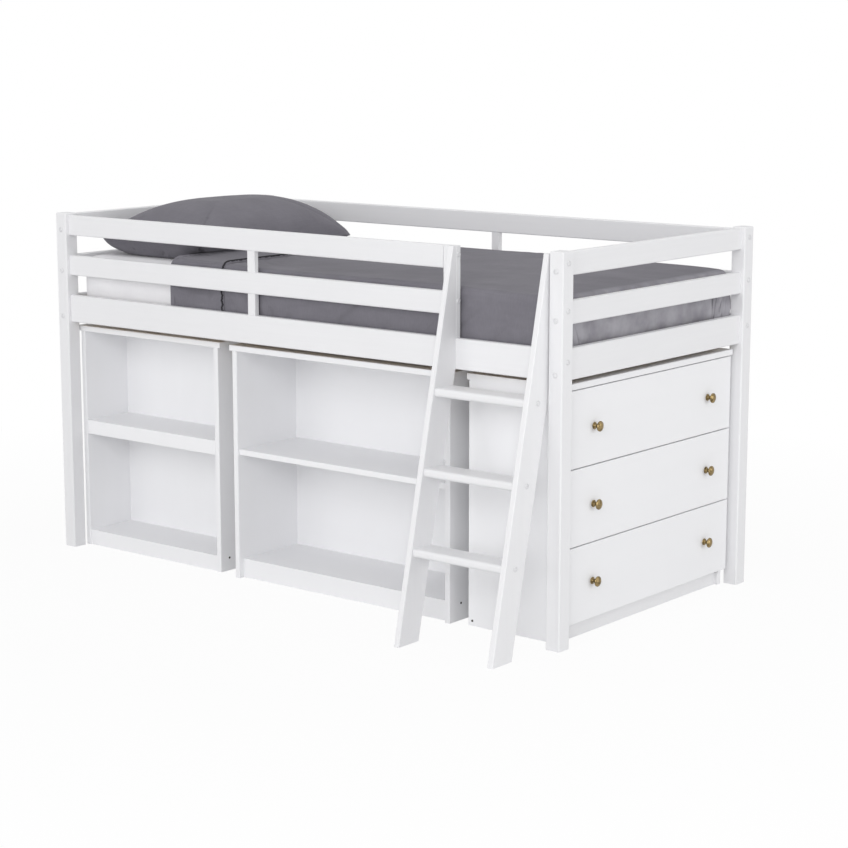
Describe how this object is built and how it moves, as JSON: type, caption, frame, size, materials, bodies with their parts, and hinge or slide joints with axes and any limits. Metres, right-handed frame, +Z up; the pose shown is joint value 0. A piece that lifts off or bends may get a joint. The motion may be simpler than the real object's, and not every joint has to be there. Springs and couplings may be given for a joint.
{
  "type": "loft bed",
  "caption": "White wooden loft bed with guard rails, a leaning ladder, bedding, and low bookcases and a chest of sliding drawers standing under it.",
  "frame": {"origin": "on the floor, under the middle of the box round the bed and its ladder", "axes": "+X from the head end to the foot end along the bed, +Y from the ladder side to the rear, +Z up"},
  "size_m": [2.0032, 1.2316, 1.1333],
  "materials": {
    "white_paint": "satin white paint on wood",
    "bare_wood": "bare planed pine",
    "white_sheet": "plain woven cotton",
    "grey_bedding": "plain woven cotton",
    "bolt_caps": "white enamel",
    "dark_steel": "darkened steel",
    "aged_brass": "aged, slightly worn"
  },
  "bodies": {
    "bed": {"front_head_post": "white_paint", "rear_head_post": "white_paint", "front_foot_post": "white_paint", "rear_foot_post": "white_paint", "front_base_rail": "white_paint", "front_middle_rail": "white_paint", "front_top_rail": "white_paint", "rear_base_rail": "white_paint", "rear_middle_rail": "white_paint", "rear_top_rail": "white_paint", "head_base_rail": "white_paint", "head_middle_rail": "white_paint", "head_top_rail": "white_paint", "foot_base_rail": "white_paint", "foot_middle_rail": "white_paint", "foot_top_rail": "white_paint", "guard_end_post": "white_paint", "guard_uprights": "white_paint", "ladder_left_stile": "white_paint", "ladder_right_stile": "white_paint", "ladder_treads": "white_paint", "small_bookcase_left_side": "white_paint", "small_bookcase_right_side": "white_paint", "small_bookcase_bottom": "white_paint", "small_bookcase_top": "white_paint", "small_bookcase_plinth": "white_paint", "small_bookcase_back": "white_paint", "small_bookcase_shelf": "white_paint", "large_bookcase_left_side": "white_paint", "large_bookcase_right_side": "white_paint", "large_bookcase_bottom": "white_paint", "large_bookcase_top": "white_paint", "large_bookcase_plinth": "white_paint", "large_bookcase_back": "white_paint", "large_bookcase_shelf": "white_paint", "chest_top": "white_paint", "chest_back": "white_paint", "chest_plinth": "white_paint", "chest_front_side": "white_paint", "chest_rear_side": "white_paint", "slat_ledgers": "bare_wood", "bed_slats": "bare_wood", "chest_corner_blocks": "bare_wood", "drawer_runners": "bare_wood", "mattress": "white_sheet", "duvet": "grey_bedding", "pillow": "grey_bedding", "frame_bolts": "bolt_caps", "ladder_bolts": "bolt_caps", "assembly_screws": "dark_steel", "large_bookcase_shelf_pins": "dark_steel"},
    "upper_drawer": {"upper_drawer_front": "white_paint", "upper_drawer_box": "bare_wood", "upper_drawer_knobs": "aged_brass"},
    "middle_drawer": {"middle_drawer_front": "white_paint", "middle_drawer_box": "bare_wood", "middle_drawer_knobs": "aged_brass"},
    "lower_drawer": {"lower_drawer_front": "white_paint", "lower_drawer_box": "bare_wood", "lower_drawer_knobs": "aged_brass"}
  },
  "joints": [
    {"name": "upper_drawer_slide", "type": "slide", "parent": "bed", "child": "upper_drawer", "axis": [1, 0, 0], "range_m": [0, 0.23]},
    {"name": "middle_drawer_slide", "type": "slide", "parent": "bed", "child": "middle_drawer", "axis": [1, 0, 0], "range_m": [0, 0.23]},
    {"name": "lower_drawer_slide", "type": "slide", "parent": "bed", "child": "lower_drawer", "axis": [1, 0, 0], "range_m": [0, 0.23]}
  ]
}
